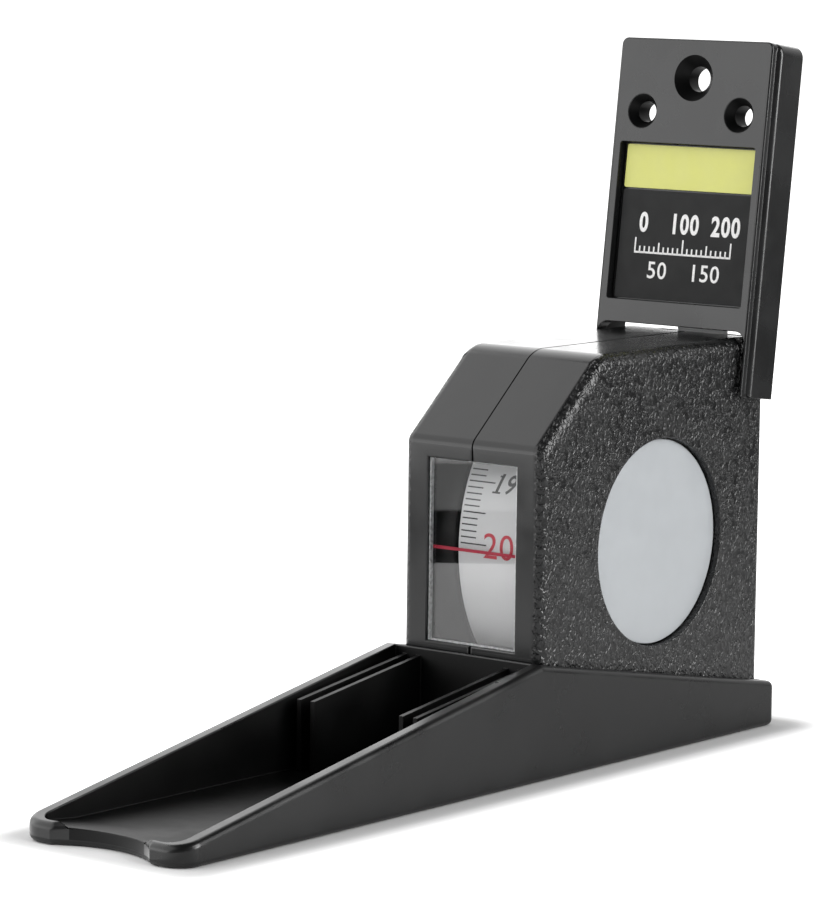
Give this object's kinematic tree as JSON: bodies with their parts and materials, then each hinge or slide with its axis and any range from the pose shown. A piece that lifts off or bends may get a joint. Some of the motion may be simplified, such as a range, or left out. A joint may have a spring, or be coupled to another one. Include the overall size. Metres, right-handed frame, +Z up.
{
  "type": "stadiometer",
  "caption": "Roll-up height tape for a wall: a boxed spring reel with a reading window on a long wedge head board, and a hollow wall bracket on the tape's end.",
  "frame": {"origin": "middle of the head board's flat underside, the face that meets the head", "axes": "+X to the right seen from the reading window, +Y back towards the wall, +Z up along the tape"},
  "size_m": [0.0318, 0.1502, 0.1135],
  "materials": {
    "shell_black": "black ABS, satin front and leather-grained sides",
    "board_black": "smooth black ABS, semi-gloss",
    "lens_clear": "clear moulded acrylic",
    "hairline_red": "crimson print",
    "badge_grey": "pale grey, bare, faintly satin",
    "label_yellow": "yellow-green printed strip",
    "label_black": "black printed card",
    "tape_white": "white coated tape",
    "nylon_pale": "natural nylon",
    "steel_bright": "zinc-plated steel",
    "steel_spring": "blued spring steel"
  },
  "bodies": {
    "case": {"head_board": "board_black", "case_left": "shell_black", "case_right": "shell_black", "window_lens": "lens_clear", "hairline": "hairline_red", "badge_left": "badge_grey", "badge_right": "badge_grey", "arbor": "steel_bright", "guide_pin": "steel_bright", "case_screw_1": "steel_bright", "case_screw_2": "steel_bright", "case_screw_3": "steel_bright", "case_screw_4": "steel_bright", "board_screw_left_1": "steel_bright", "board_screw_right_1": "steel_bright", "board_screw_left_2": "steel_bright", "board_screw_right_2": "steel_bright"},
    "reel": {"reel_drum": "nylon_pale", "reel_cover": "board_black", "tape_coil": "tape_white", "return_spring": "steel_spring"},
    "tape_end": {"tape_lead": "tape_white", "tape_hook": "steel_bright", "tape_rivet_1": "steel_bright", "tape_rivet_2": "steel_bright"},
    "bracket": {"wall_plate": "shell_black", "bracket_pin": "steel_bright", "label_strip": "label_yellow", "label_card": "label_black"}
  },
  "joints": [
    {"name": "tape_pull", "type": "slide", "parent": "case", "child": "tape_end", "axis": [0, 0, 1], "range_m": [0, 2], "stiffness_N_per_m": 1, "springref_m": -3, "deforming": ["tape_lead"]},
    {"name": "bracket_tilt", "type": "hinge", "parent": "tape_end", "child": "bracket", "pos_m": [0, 0.0701, 0.07608], "axis": [1, 0, 0], "range_deg": [0, 7.2], "stiffness_Nm_per_rad": 0.005, "springref_deg": -11.46},
    {"name": "reel_spin", "type": "hinge", "parent": "case", "child": "reel", "pos_m": [0.003, 0.041, 0.0343], "axis": [1, 0, 0], "range_deg": [0, 4330], "deforming": ["return_spring"]}
  ],
  "couplings": [
    {"joint": "reel_spin", "follows": "tape_pull", "rad_per_m": 37.7}
  ]
}
